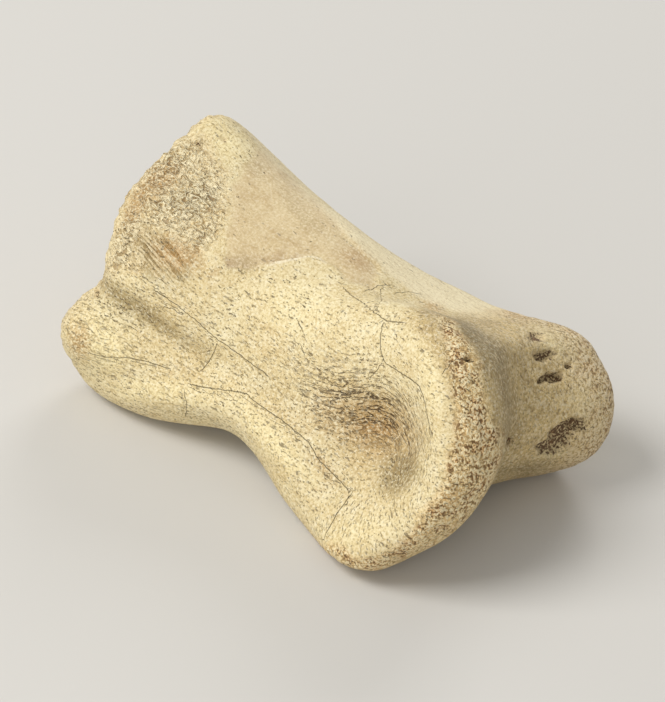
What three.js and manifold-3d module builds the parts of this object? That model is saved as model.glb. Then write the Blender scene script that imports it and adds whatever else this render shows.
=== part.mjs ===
// The fossil of an ornithomimid dinosaur's toe bone, life size, lying as it rests on a table.
// Millimetres, +Z up, with +X along the bone to its far end.
// The bone is shaped in a frame of its own: x runs to the distal joint (the end with the two
// condyles), side runs to the large condyle, z runs to the dorsal face (the top of the toe), and
// the origin is on the axis of the distal joint. Then it is laid down on the places it rests on.
import * as THREE from "three";
import { mergeVertices } from "three/addons/utils/BufferGeometryUtils.js";
import Module from "manifold-3d";

const { clamp, degToRad, lerp, mapLinear, smoothstep } = THREE.MathUtils;

// The shaft is set out at five stations, from the base at x = -40 to the joint axis at x = 0.
const STATION_START = -40;
const STATION_STEP = 10;
const NEAR_WIDTH = [13.9, 13.4, 11.6, 11.7, 12.4]; // middle to the large condyle's side face
const NEAR_LEAN = [0, 0.03, 0.08, 0.19, 0.21]; // how far that face leans in, per mm of height
const FAR_WIDTH = [11, 9.5, 8.8, 12.3, 15.1]; // middle to the small condyle's side face
const DORSAL = [16.6, 13, 11.4, 9, 8.6]; // joint axis up to the dorsal ridge
const ROOF = [0.8, 0.5, 0.52, 0.2, 0.25]; // fall of the dorsal face to each side, per mm
const BELLY = [10.7, 10.6, 8.5, 9.1, 7.5]; // joint axis down to the plantar face
const EDGE = [4.7, 5.4, 6.2, 4.6, 3.9]; // rounding of the long edges
const RIDGE_ROUND = 3; // rounding of the dorsal ridge
const FACE_ROUND = 4; // rounding where the dorsal and plantar faces would meet
const SHAFT_END = { x: 2, round: 2 }; // where the shaft stops, inside the joint
const BELLY_TILT = 0.25; // the plantar face is deeper on the large condyle's side

// The distal joint: a roller that widens from the small condyle to the large one.
const NEAR_RADIUS = 12.5;
const FAR_RADIUS = 6.5;
const NEAR_CENTRE = [-3.35, -1.15]; // x and z of the large condyle's centre
const FAR_CENTRE = [2, 0.2]; // x and z of the small condyle's centre
const CONDYLE_SPAN = 13; // each centre's distance from the middle
const RAMP_START = -0.5; // side at which the roller starts to widen, at the height of the axis
const RAMP_END = 10.6; // side at which it is widest
const START_LEAN = 0.4; // how far the start of the widening leans in, per mm of height
const CREST_LEAN = 0.15; // how far the widest place leans in
const FAR_BULGE = { height: 1, side: -11, width: 5 };
const GROOVE = { depth: 0.2, side: 0, width: 4 };
const JOINT_BLEND = 5; // fillet between the shaft and the roller

// The large condyle's side face: a raised rim round a pit for the ligament of the joint, and a flank
// ridge that runs from the heel to the condyle along the lower edge.
const RIM = { height: 2.4, inner: 3, outer: 11.5, from: -9, to: 4 };
const PIT = { depth: 2.7, x: -2.6, z: -1.9, long: 5.2, high: 4.4 };
const FLANK = { out: 1.4, x: -17.5, z: -6.2, bend: -0.024, width: 2.5, long: 13 };
const FAR_PIT = { depth: 2, x: 0, z: 0, long: 5, high: 4 };

// The base: a dished joint face, a heel low on the large condyle's side, and a valley above it.
const BASE = -40.8;
const BASE_LEAN = 0.03; // how far the base leans back, per mm of height
const BASE_ROUND = 3.5; // rounding of the worn margin
const DISH = { depth: 3.6, z: 0, wide: 8.5, high: 10 };
const HEEL = { out: 3.2, x: -39, z: -6.2, long: 8, high: 4.1 };
const HEEL_BACK = { out: 1.8, side: 13, z: -7.2, wide: 5, high: 4.1 };
const VALLEY = { depth: 1.4, x: -33, z: -2.6, fall: -0.12, width: 2, long: 9.5 };

// How it lies: the turns that bring its three lowest places to the table, and the size of the flats there.
const REST_ROLL = -14.7; // degrees about its long axis
const REST_PITCH = 0.3; // degrees about the axis of the joint
const REST_FLAT = 0.15; // depth worn off each place it rests on
const TABLE = { across: 100, deep: 10 };

// The net that is laid over the bone, from rays that leave a line inside it.
const NET = [50, 24, 24];
const CORE = [-30, -1]; // the line's two ends
const CORE_SHARE = 0.52; // share of the net's length whose rays leave the line square to it
const REACH = 40; // length of a ray, well outside the bone
const HALVINGS = 40; // times that a ray is halved to find the surface on it
const MERGE = 1e-6; // corners closer than this are one corner

const COLOUR = "#dcca9f";

// A soft hump, 1 at its middle and 1/e at its width.
function bump(distance, width) {
  return Math.exp(-((distance / width) ** 2));
}

// A smooth line through the values of the five stations.
function along(x, values) {
  const last = values.length - 1;
  const place = clamp((x - STATION_START) / STATION_STEP, 0, last - 1e-6);
  const i = Math.floor(place);
  const t = place - i;
  const before = i > 0 ? values[i - 1] : 2 * values[0] - values[1];
  const after = i + 2 <= last ? values[i + 2] : 2 * values[last] - values[last - 1];
  const [b, c] = [values[i], values[i + 1]];
  const cubic = 3 * (b - c) + after - before;
  return b + 0.5 * t * (c - before + t * (2 * before - 5 * b + 4 * c - after + t * cubic));
}

// The larger of two distances, with a fillet of size k where they meet.
function smoothMax(a, b, k) {
  return Math.max(a, b) + Math.max(k - Math.abs(a - b), 0) ** 2 / (4 * k);
}

// The smaller of two distances, with a fillet of size k where they meet.
function smoothMin(a, b, k) {
  return -smoothMax(-a, -b, k);
}

// Distance from the middle out to the side face that carries the large condyle's rim and pit, the flank
// ridge, the heel and the valley.
function nearFace(x, z, radius) {
  const valleyLine = VALLEY.z + VALLEY.fall * (x - VALLEY.x);
  const flankLine = FLANK.z + FLANK.bend * (x - FLANK.x) ** 2;
  return (
    along(x, NEAR_WIDTH) -
    along(x, NEAR_LEAN) * z +
    HEEL.out * bump(x - HEEL.x, HEEL.long) * bump(z - HEEL.z, HEEL.high) +
    RIM.height * smoothstep(radius, RIM.inner, RIM.outer) * smoothstep(x, RIM.from, RIM.to) +
    FLANK.out * bump(x - FLANK.x, FLANK.long) * bump(z - flankLine, FLANK.width) -
    PIT.depth * bump(x - PIT.x, PIT.long) * bump(z - PIT.z, PIT.high) -
    VALLEY.depth * bump(x - VALLEY.x, VALLEY.long) * bump(z - valleyLine, VALLEY.width)
  );
}

// Distance from the middle out to the small condyle's side face.
function farFace(x, z) {
  const pit = FAR_PIT.depth * bump(x - FAR_PIT.x, FAR_PIT.long) * bump(z - FAR_PIT.z, FAR_PIT.high);
  return along(x, FAR_WIDTH) - pit;
}

// The shaft's outline between its dorsal face, its plantar face and its dished base.
function shaft(x, side, z) {
  const roof = along(x, ROOF) * (Math.hypot(side, RIDGE_ROUND) - RIDGE_ROUND);
  const top = z - (along(x, DORSAL) - roof);
  const bottom = -z - (along(x, BELLY) + BELLY_TILT * side);
  const dish = DISH.depth * bump(side, DISH.wide) * bump(z - DISH.z, DISH.high);
  const heelSpread = bump(side - HEEL_BACK.side, HEEL_BACK.wide) * bump(z - HEEL_BACK.z, HEEL_BACK.high);
  const base = BASE - BASE_LEAN * z + dish - HEEL_BACK.out * heelSpread - x;
  const faces = smoothMax(smoothMax(top, bottom, FACE_ROUND), base, BASE_ROUND);
  return smoothMax(faces, x - SHAFT_END.x, SHAFT_END.round);
}

// Radius of the joint's roller at one place across it.
function roller(side, z) {
  const widening = smoothstep(side, RAMP_START - START_LEAN * z, RAMP_END - CREST_LEAN * z);
  return (
    lerp(FAR_RADIUS, NEAR_RADIUS, widening) +
    FAR_BULGE.height * bump(side - FAR_BULGE.side, FAR_BULGE.width) -
    GROOVE.depth * bump(side - GROOVE.side, GROOVE.width)
  );
}

// Below zero inside the bone, above zero outside it.
function bone(p) {
  const { x, z } = p;
  const side = -p.y;
  const across = clamp((side + CONDYLE_SPAN) / (2 * CONDYLE_SPAN), 0, 1);
  const axisX = lerp(FAR_CENTRE[0], NEAR_CENTRE[0], across);
  const axisZ = lerp(FAR_CENTRE[1], NEAR_CENTRE[1], across);
  const radius = Math.hypot(x - axisX, z - axisZ);
  const outline = smoothMin(shaft(x, side, z), radius - roller(side, z), JOINT_BLEND);
  const edge = along(x, EDGE);
  return smoothMax(smoothMax(outline, side - nearFace(x, z, radius), edge), -side - farFace(x, z), edge);
}

// Moves a point of the net out along its ray to the bone's surface.
function layOnBone(point) {
  const [a, b, c] = point.toArray().map((v) => 2 * v);
  const onLine = clamp(a, -CORE_SHARE, CORE_SHARE);
  const splay = (a - onLine) / (1 - CORE_SHARE);
  const start = new THREE.Vector3(mapLinear(onLine, -CORE_SHARE, CORE_SHARE, ...CORE), 0, 0);
  const ray = new THREE.Vector3(splay, Math.tan((b * Math.PI) / 4), Math.tan((c * Math.PI) / 4)).normalize();
  const at = new THREE.Vector3();
  let [inside, outside] = [0, REACH];
  for (let i = 0; i < HALVINGS; i++) {
    const middle = (inside + outside) / 2;
    if (bone(at.copy(start).addScaledVector(ray, middle)) < 0) inside = middle;
    else outside = middle;
  }
  return point.copy(start).addScaledVector(ray, inside);
}

// A mesh with its positions alone, whose faces share their corners.
function closedMesh(geometry) {
  geometry.deleteAttribute("normal");
  geometry.deleteAttribute("uv");
  return mergeVertices(geometry, MERGE);
}

function boneGeometry() {
  const geometry = closedMesh(new THREE.BoxGeometry(1, 1, 1, ...NET));
  const positions = geometry.getAttribute("position");
  const point = new THREE.Vector3();
  for (let i = 0; i < positions.count; i++) {
    layOnBone(point.fromBufferAttribute(positions, i));
    positions.setXYZ(i, point.x, point.y, point.z);
  }
  return geometry;
}

// Turns the bone to the way it lies, with the middle of its box over the origin.
function layDown(geometry) {
  geometry.rotateX(degToRad(REST_ROLL));
  geometry.rotateY(degToRad(REST_PITCH));
  geometry.computeBoundingBox();
  const { min, max } = geometry.boundingBox;
  return geometry.translate(-(min.x + max.x) / 2, -(min.y + max.y) / 2, -min.z - REST_FLAT);
}

// A closed mesh as a solid that can be cut.
function solidOf(geometry, kernel) {
  const mesh = new kernel.Mesh({
    numProp: 3,
    vertProperties: new Float32Array(geometry.getAttribute("position").array),
    triVerts: new Uint32Array(geometry.index.array),
  });
  return new kernel.Manifold(mesh);
}

// Cuts away what is below the table, which leaves small flats at one level.
async function restOnTable(geometry) {
  const kernel = await Module();
  kernel.setup();
  const table = closedMesh(new THREE.BoxGeometry(TABLE.across, TABLE.across, TABLE.deep));
  table.translate(0, 0, -TABLE.deep / 2);
  const cut = solidOf(geometry, kernel).subtract(solidOf(table, kernel)).getMesh();
  const rested = new THREE.BufferGeometry();
  rested.setAttribute("position", new THREE.BufferAttribute(cut.vertProperties, cut.numProp));
  rested.setIndex(new THREE.BufferAttribute(cut.triVerts, 1));
  rested.computeVertexNormals();
  return rested;
}

const toeBone = new THREE.Mesh(
  await restOnTable(layDown(boneGeometry())),
  new THREE.MeshStandardMaterial({ color: COLOUR, roughness: 0.7, metalness: 0 }),
);
toeBone.name = "toe_bone";

const fossil = new THREE.Group();
fossil.add(toeBone);

export default fossil;
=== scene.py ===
# %% [markdown]
# # A fossil toe bone, dressed
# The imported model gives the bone's solid: one toe bone of an ornithomimid dinosaur, about 52 mm long,
# lying on its underside. This lesson lays a much finer skin on the same form and gives it the look of
# old mineral-filled bone: cream and tan, finely pored, with hairline cracks, crumbled rims and a few
# broken pits. The frame is loaded first, so that every later step can be measured against it.

# %% Load the frame
import math
import bpy
import numpy as np
from mathutils import Matrix, Vector


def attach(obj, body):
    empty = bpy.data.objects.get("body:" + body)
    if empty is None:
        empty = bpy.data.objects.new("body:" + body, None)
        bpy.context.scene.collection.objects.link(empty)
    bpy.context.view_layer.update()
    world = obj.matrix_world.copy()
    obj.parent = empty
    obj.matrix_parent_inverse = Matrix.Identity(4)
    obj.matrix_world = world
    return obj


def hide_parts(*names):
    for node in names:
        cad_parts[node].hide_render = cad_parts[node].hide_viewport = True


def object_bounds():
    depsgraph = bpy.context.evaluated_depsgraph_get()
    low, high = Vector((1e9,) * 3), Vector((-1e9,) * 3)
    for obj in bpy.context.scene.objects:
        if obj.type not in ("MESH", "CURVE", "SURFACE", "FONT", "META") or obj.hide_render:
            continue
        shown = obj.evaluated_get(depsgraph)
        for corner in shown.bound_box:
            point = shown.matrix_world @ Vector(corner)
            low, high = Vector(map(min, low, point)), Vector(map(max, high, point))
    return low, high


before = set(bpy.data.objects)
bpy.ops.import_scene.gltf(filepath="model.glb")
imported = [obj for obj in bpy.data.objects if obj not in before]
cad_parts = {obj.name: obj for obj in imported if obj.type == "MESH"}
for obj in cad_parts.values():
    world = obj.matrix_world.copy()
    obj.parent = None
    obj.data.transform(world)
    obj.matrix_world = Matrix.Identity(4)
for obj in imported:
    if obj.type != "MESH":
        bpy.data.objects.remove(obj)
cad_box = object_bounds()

MM = 0.001
box_low, box_high = (np.array(corner, float) / MM for corner in cad_box)
print("CAD box in mm:", box_low.round(2), box_high.round(2))

# %% [markdown]
# ## The bone's form
# A toe bone has three regions: a dished base that met the foot, a waisted shaft, and a roller with two
# unequal condyles that carried the next toe bone. A sculptor would push clay about. Here the form is a
# formula, because the same named sizes then give the solid and this finer skin. Lengths are in
# millimetres, x runs to the condyles, side runs to the large condyle and z to the top of the toe. The
# origin is on the axis of the roller.

# %% Named sizes of the shaft, at five stations from x = -40 to x = 0
STATION_START, STATION_STEP = -40.0, 10.0
NEAR_WIDTH = (13.9, 13.4, 11.6, 11.7, 12.4)  # middle to the large condyle's side face
NEAR_LEAN = (0.0, 0.03, 0.08, 0.19, 0.21)  # how far that face leans in, per mm of height
FAR_WIDTH = (11.0, 9.5, 8.8, 12.3, 15.1)  # middle to the small condyle's side face
DORSAL = (16.6, 13.0, 11.4, 9.0, 8.6)  # joint axis up to the dorsal ridge
ROOF = (0.8, 0.5, 0.52, 0.2, 0.25)  # fall of the dorsal face to each side, per mm
BELLY = (10.7, 10.6, 8.5, 9.1, 7.5)  # joint axis down to the plantar face
EDGE = (4.7, 5.4, 6.2, 4.6, 3.9)  # rounding of the long edges
RIDGE_ROUND = 3.0  # rounding of the dorsal ridge
FACE_ROUND = 4.0  # rounding where the dorsal and plantar faces would meet
SHAFT_END = dict(x=2.0, round=2.0)  # where the shaft stops, inside the joint
BELLY_TILT = 0.25  # the plantar face is deeper on the large condyle's side
print("shaft set out at", len(DORSAL), "stations")

# %% Named sizes of the roller, the base and the pits
NEAR_RADIUS, FAR_RADIUS = 12.5, 6.5
NEAR_CENTRE, FAR_CENTRE = (-3.35, -1.15), (2.0, 0.2)  # x and z of each condyle's centre
CONDYLE_SPAN = 13.0  # each centre's distance from the middle
RAMP_START, RAMP_END = -0.5, 10.6  # side at which the roller starts to widen, and is widest
START_LEAN, CREST_LEAN = 0.4, 0.15  # how far those two places lean in, per mm of height
FAR_BULGE = dict(height=1.0, side=-11.0, width=5.0)
GROOVE = dict(depth=0.2, side=0.0, width=4.0)
JOINT_BLEND = 5.0  # fillet between the shaft and the roller
RIM = dict(height=2.4, inner=3.0, outer=11.5, start=-9.0, end=4.0)
PIT = dict(depth=2.7, x=-2.6, z=-1.9, long=5.2, high=4.4)
FAR_PIT = dict(depth=2.0, x=0.0, z=0.0, long=5.0, high=4.0)
BASE, BASE_LEAN, BASE_ROUND = -40.8, 0.03, 3.5
DISH = dict(depth=3.6, z=0.0, wide=8.5, high=10.0)
HEEL = dict(out=3.2, x=-39.0, z=-6.2, long=8.0, high=4.1)
HEEL_BACK = dict(out=1.8, side=13.0, z=-7.2, wide=5.0, high=4.1)
VALLEY = dict(depth=1.4, x=-33.0, z=-2.6, fall=-0.12, width=2.0, long=9.5)
FLANK = dict(out=1.4, x=-17.5, z=-6.2, bend=-0.024, width=2.5, long=13.0)
print("condyle radii:", NEAR_RADIUS, "and", FAR_RADIUS)


# %% Curves that the form is made of
def bump(distance, width):
    """A soft hump: e to the power of minus the square of distance over width."""
    return np.exp(-((distance / width) ** 2))


def ease(value, start, end):
    """Rises from 0 at start to 1 at end along 3t2 - 2t3."""
    t = np.clip((value - start) / (end - start), 0.0, 1.0)
    return t * t * (3.0 - 2.0 * t)


def blend_max(a, b, fillet):
    """The larger of two distances, with a round fillet where they meet."""
    return np.maximum(a, b) + np.maximum(fillet - np.abs(a - b), 0.0) ** 2 / (4.0 * fillet)


def along(x, values):
    """A smooth cubic line through values set at equal stations along the bone."""
    v = np.array(values)
    v = np.concatenate(([2 * v[0] - v[1]], v, [2 * v[-1] - v[-2]]))
    place = np.clip((x - STATION_START) / STATION_STEP, 0.0, len(values) - 1.000001)
    i = place.astype(int)
    t = place - i
    a, b, c, d = v[i], v[i + 1], v[i + 2], v[i + 3]
    return b + 0.5 * t * (c - a + t * (2 * a - 5 * b + 4 * c - d + t * (3 * (b - c) + d - a)))


print("a hump one width out:", round(float(bump(1.0, 1.0)), 3))


# %% The four skins of the bone: how deep a point lies under each
def skins(p):
    """Depth in mm below the large condyle's side face, the other side face, the roller and the shaft."""
    x, side, z = p[:, 0], -p[:, 1], p[:, 2]
    across = np.clip((side + CONDYLE_SPAN) / (2 * CONDYLE_SPAN), 0.0, 1.0)
    axis_x = FAR_CENTRE[0] + (NEAR_CENTRE[0] - FAR_CENTRE[0]) * across
    axis_z = FAR_CENTRE[1] + (NEAR_CENTRE[1] - FAR_CENTRE[1]) * across
    radius = np.hypot(x - axis_x, z - axis_z)
    valley_line = VALLEY["z"] + VALLEY["fall"] * (x - VALLEY["x"])
    near = along(x, NEAR_WIDTH) - along(x, NEAR_LEAN) * z
    near += HEEL["out"] * bump(x - HEEL["x"], HEEL["long"]) * bump(z - HEEL["z"], HEEL["high"])
    near += RIM["height"] * ease(radius, RIM["inner"], RIM["outer"]) * ease(x, RIM["start"], RIM["end"])
    near -= PIT["depth"] * bump(x - PIT["x"], PIT["long"]) * bump(z - PIT["z"], PIT["high"])
    near -= VALLEY["depth"] * bump(z - valley_line, VALLEY["width"]) * bump(x - VALLEY["x"], VALLEY["long"])
    flank_line = FLANK["z"] + FLANK["bend"] * (x - FLANK["x"]) ** 2
    near += FLANK["out"] * bump(z - flank_line, FLANK["width"]) * bump(x - FLANK["x"], FLANK["long"])
    far_pit = FAR_PIT["depth"] * bump(x - FAR_PIT["x"], FAR_PIT["long"])
    far = along(x, FAR_WIDTH) - far_pit * bump(z - FAR_PIT["z"], FAR_PIT["high"])
    widening = ease(side, RAMP_START - START_LEAN * z, RAMP_END - CREST_LEAN * z)
    roller = FAR_RADIUS + (NEAR_RADIUS - FAR_RADIUS) * widening
    roller += FAR_BULGE["height"] * bump(side - FAR_BULGE["side"], FAR_BULGE["width"])
    roller -= GROOVE["depth"] * bump(side - GROOVE["side"], GROOVE["width"])
    return near - side, far + side, roller - radius, shaft_depth(x, side, z)


def shaft_depth(x, side, z):
    """Depth below the dorsal face, the plantar face or the dished base, whichever is least."""
    top = along(x, DORSAL) - along(x, ROOF) * (np.hypot(side, RIDGE_ROUND) - RIDGE_ROUND) - z
    bottom = along(x, BELLY) + BELLY_TILT * side + z
    body = blend_max(-top, -bottom, FACE_ROUND)
    body = blend_max(body, -base_depth(x, side, z), BASE_ROUND)
    return -blend_max(body, x - SHAFT_END["x"], SHAFT_END["round"])


def base_depth(x, side, z):
    """Depth in front of the base's joint face: a plane, with a dish in it and the heel standing back."""
    dish = DISH["depth"] * bump(side, DISH["wide"]) * bump(z - DISH["z"], DISH["high"])
    heel = HEEL_BACK["out"] * bump(side - HEEL_BACK["side"], HEEL_BACK["wide"])
    return x - (BASE - BASE_LEAN * z + dish - heel * bump(z - HEEL_BACK["z"], HEEL_BACK["high"]))


def outside(p):
    """Below zero inside: shaft and roller joined, then cut by the two side faces, all with fillets."""
    near, far, roller, shaft = skins(p)
    outline = -blend_max(shaft, roller, JOINT_BLEND)
    edge = along(p[:, 0], EDGE)
    return blend_max(blend_max(outline, -near, edge), -far, edge)


print("at the core:", outside(np.array([[-15.0, 0.0, 0.0]])).round(2), "mm")


# %% [markdown]
# ## A net over the form
# The skin is a box-shaped net of quads pushed out onto the form. Each corner of the net leaves a line
# inside the bone on its own ray and stops where the formula changes sign, which halving the step finds
# for all corners at once. A box net has no poles, and its six sides share their corners, so the skin
# is closed. Its cells are about 0.3 mm, fine enough for crumbs and broken pits to be real relief.

# %% The box-shaped net
NET = np.array((184, 104, 104))
CORE = (-30.0, -1.0)
CORE_SHARE = 0.52
REACH = 40.0
HALVINGS = 26


def box_net(cells):
    """Whole-number corners on the six sides of a box, each once, and the quads between them."""
    stride = np.array(((cells[1] + 1) * (cells[2] + 1), cells[2] + 1, 1))
    sides = []
    for axis in range(3):
        u, v = (axis + 1) % 3, (axis + 2) % 3
        for end in (0, 1):
            i, j = np.meshgrid(np.arange(cells[u] + 1), np.arange(cells[v] + 1), indexing="ij")
            key = i * stride[u] + j * stride[v] + end * cells[axis] * stride[axis]
            quad = np.stack((key[:-1, :-1], key[1:, :-1], key[1:, 1:], key[:-1, 1:]), -1).reshape(-1, 4)
            sides.append(quad if end else quad[:, ::-1])
    keys, quads = np.unique(np.concatenate(sides), return_inverse=True)
    corners = np.stack((keys // stride[0], keys // stride[1] % (cells[1] + 1), keys % (cells[2] + 1)), -1)
    return corners, quads.reshape(-1, 4)


corners, quads = box_net(NET)
print("net:", len(corners), "corners,", len(quads), "quads")


# %% Push the net out onto the bone
def lay_on_bone(corners):
    """Where each corner's ray leaves the bone: the interval from inside to outside, halved many times."""
    a, b, c = (2.0 * corners / NET - 1.0).T
    on_line = np.clip(a, -CORE_SHARE, CORE_SHARE)
    start = np.zeros((len(a), 3))
    start[:, 0] = CORE[0] + (CORE[1] - CORE[0]) * (on_line / CORE_SHARE + 1.0) / 2.0
    splay = (a - on_line) / (1.0 - CORE_SHARE)
    ray = np.stack((splay, np.tan(b * math.pi / 4), np.tan(c * math.pi / 4)), -1)
    ray /= np.linalg.norm(ray, axis=1, keepdims=True)
    low, high = np.zeros(len(a)), np.full(len(a), REACH)
    for _ in range(HALVINGS):
        middle = (low + high) / 2.0
        inside = outside(start + ray * middle[:, None]) < 0.0
        low, high = np.where(inside, middle, low), np.where(inside, high, middle)
    return start + ray * low[:, None]


def steepest(p, reach=0.05):
    """The outward direction: the slope of the formula over a short reach each way, made unit."""
    slopes = [outside(p + reach * e) - outside(p - reach * e) for e in np.eye(3)]
    n = np.stack(slopes, -1)
    return n / np.linalg.norm(n, axis=1, keepdims=True)


bone = lay_on_bone(corners)
outward = steepest(bone)
print("bone in its own frame, mm:", bone.min(0).round(2), bone.max(0).round(2))

# %% [markdown]
# ## How it lies, and where the camera stands
# A loose bone comes to rest on three places: here the underside of the base and of both condyles. Two
# turns bring those to the floor, and the middle of the box goes over the origin, as in the solid. The
# camera is set out in the bone's own frame, because what the photograph shows is the bone: which way
# is right and which is down in the picture, the pixel of the roller's axis, and the scale there.

# %% The rest pose
REST_ROLL, REST_PITCH, REST_FLAT = math.radians(-14.7), math.radians(0.3), 0.15
turn = np.array(Matrix.Rotation(REST_PITCH, 3, "Y") @ Matrix.Rotation(REST_ROLL, 3, "X"))
lying = bone @ turn.T
shift = (box_low + box_high) / 2.0 - (lying.min(0) + lying.max(0)) / 2.0
shift[2] = -lying[:, 2].min() - REST_FLAT


def lie_down(p):
    """From the bone's own frame to the scene: two turns and a shift, in mm."""
    return p @ turn.T + shift


print("laid down, mm:", lie_down(bone).min(0).round(2), lie_down(bone).max(0).round(2))

# %% The photograph's camera, in the bone's frame
PHOTO_SIZE = np.array((665.0, 702.0))
PHOTO_RIGHT = np.array((0.754, 0.607, 0.248))
PHOTO_DOWN = np.array((0.4335, -0.177, -0.883))
AXIS_PIXEL = np.array((469.0, 415.0))
PIXELS_PER_MM = 10.0
DISTANCE = 300.0
FOCAL_PIXELS = PIXELS_PER_MM * DISTANCE
right = PHOTO_RIGHT / np.linalg.norm(PHOTO_RIGHT)
down = PHOTO_DOWN - (PHOTO_DOWN @ right) * right
down /= np.linalg.norm(down)
into = np.cross(right, down)
looks = np.stack((right, down, into))
axis_seen = np.append((AXIS_PIXEL - PHOTO_SIZE / 2.0) / PIXELS_PER_MM, DISTANCE)
eye = -looks.T @ axis_seen


def photo_pixel(p):
    """Where a point of the bone falls in the photograph: its place seen from the eye over its distance."""
    seen = (p - eye) @ looks.T
    return PHOTO_SIZE / 2.0 + FOCAL_PIXELS * seen[:, :2] / seen[:, 2:]


print("the axis falls on pixel", photo_pixel(np.zeros((1, 3))).round(1))

# %% Set up the camera
SENSOR = 36.0
camera_data = bpy.data.cameras.new("photo_camera")
camera_data.sensor_fit = "VERTICAL"
camera_data.sensor_height = SENSOR
camera_data.lens = SENSOR * FOCAL_PIXELS / PHOTO_SIZE[1]
camera_data.clip_start = 0.01
camera = bpy.data.objects.new("photo_camera", camera_data)
axes = np.stack((turn @ right, -(turn @ down), -(turn @ into)), -1)
camera.matrix_world = Matrix.Translation(Vector(lie_down(eye[None])[0] * MM)) @ Matrix(axes).to_4x4()
bpy.context.scene.collection.objects.link(camera)
bpy.context.scene.camera = camera
print("camera looks down", round(math.degrees(math.asin((turn @ -into)[2])), 1), "degrees")


# %% [markdown]
# ## Places on the bone
# Cracks, broken pits and stains are set where the photograph shows them. A place is named by its pixel.
# The ray through the pixel is followed from the eye until it enters the formula, so each mark is fixed
# to the bone itself and stays there from every side.

# %% From a pixel to the bone
SEARCH = dict(before=45.0, behind=60.0, step=0.2)
PIT_PIXEL = (378, 437)


def on_bone(pixels):
    """The first point of each pixel's ray inside the bone, found in short steps round the axis's distance."""
    flat = (np.asarray(pixels, float) - PHOTO_SIZE / 2.0) / FOCAL_PIXELS
    ray = np.concatenate((flat, np.ones((len(flat), 1))), 1) @ looks
    reach = np.arange(DISTANCE - SEARCH["before"], DISTANCE + SEARCH["behind"], SEARCH["step"])
    path = eye + ray[:, None, :] * reach[None, :, None]
    inside = outside(path.reshape(-1, 3)).reshape(path.shape[:2]) < 0.0
    return path[np.arange(len(ray)), np.where(inside.any(1), inside.argmax(1), len(reach) // 2)]


seen_pixel = photo_pixel(bone)
to_eye = eye - bone
to_eye /= np.linalg.norm(to_eye, axis=1, keepdims=True)
facing = ease((outward * to_eye).sum(1), 0.02, 0.25)
print("pit of the large condyle:", on_bone([PIT_PIXEL]).round(1), "mm")


# %% [markdown]
# ## Noise for worn bone
# Worn bone is uneven at many sizes at once. Two noises do most of it: soft noise for slow swells and
# tints, and crumbs, which are rounded grains like those of a broken edge. Both come from a hash of
# whole-number lattice places, so every run gives the same bone.

# %% Soft noise and crumbs
def lattice_value(cell, seed):
    """A fixed random number from 0 to 1 for each whole-number lattice place."""
    h = cell[:, 0] * 73856093 ^ cell[:, 1] * 19349663 ^ cell[:, 2] * 83492791 ^ (seed * 40503 + 977)
    h = (h ^ (h >> 13)) * 1274126177 & 0xFFFFFFFF
    h = (h ^ (h >> 15)) * 668265263 & 0xFFFFFFFF
    return (h >> 8 & 0xFFFF) / 65535.0


def soft_noise(p, size, seed):
    """Random heights from -1 to 1 on a lattice of the given size in mm, eased between."""
    cell = np.floor(p / size).astype(np.int64)
    t = p / size - cell
    t = t * t * (3.0 - 2.0 * t)
    total = np.zeros(len(p))
    for corner in np.ndindex(2, 2, 2):
        weight = np.where(corner, t, 1.0 - t).prod(1)
        total += weight * lattice_value(cell + np.array(corner), seed)
    return 2.0 * total - 1.0


def crumbs(p, size, seed):
    """Distance to the nearest of scattered grain middles, over the grain size: 0 on a grain, 1 between."""
    cell = np.floor(p / size).astype(np.int64)
    nearest = np.full(len(p), 9.0)
    for step in np.ndindex(3, 3, 3):
        place = cell + np.array(step) - 1
        spot = place + np.stack([lattice_value(place, seed + k) for k in range(3)], -1)
        nearest = np.minimum(nearest, ((p / size - spot) ** 2).sum(1))
    return np.clip(np.sqrt(nearest), 0.0, 1.0)


swell = soft_noise(bone, 5.0, 1)
unrest = 0.6 * soft_noise(bone, 2.2, 2) + 0.4 * soft_noise(bone, 1.0, 3)
grains = crumbs(bone, 0.85, 4)
print("noise from", swell.min().round(2), "to", swell.max().round(2))

# %% [markdown]
# ## Where the bone is worn
# Each kind of wear gets a mask from 0 to 1 at every corner of the net. Rims are where a side face and
# the roller are both close, so the depths below the skins find them with no drawing. The scar is the
# rough band round the base where the joint's capsule was tied on. It is wide where the photograph shows
# it, and a narrow band elsewhere.

# %% Skins near each corner, the joint faces, and the painted shade in the groove
near_depth, far_depth, roller_depth, _ = skins(bone)
x, side, z = bone[:, 0], -bone[:, 1], bone[:, 2]
base_below = base_depth(x, side, z)
on_near = ease(near_depth, 3.0, 0.5)
distal = ease(x + 1.5 * unrest, -7.0, -2.0)
roller_face = ease(roller_depth, 1.8, 0.5) * ease(x, -7.0, -2.0)
base_face = ease(base_below, 1.2, 0.4) * (1.0 - ease(np.hypot(side, z), 10.0, 13.0))
# painted shade: a darker band in the groove between the condyles, where the large condyle shades it
GROOVE_SHADE = dict(side=4.4, width=3.8)
groove_shade = roller_face * bump(side - GROOVE_SHADE["side"], GROOVE_SHADE["width"])
print("share under the joint faces:", roller_face.mean().round(3), base_face.mean().round(3))


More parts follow.
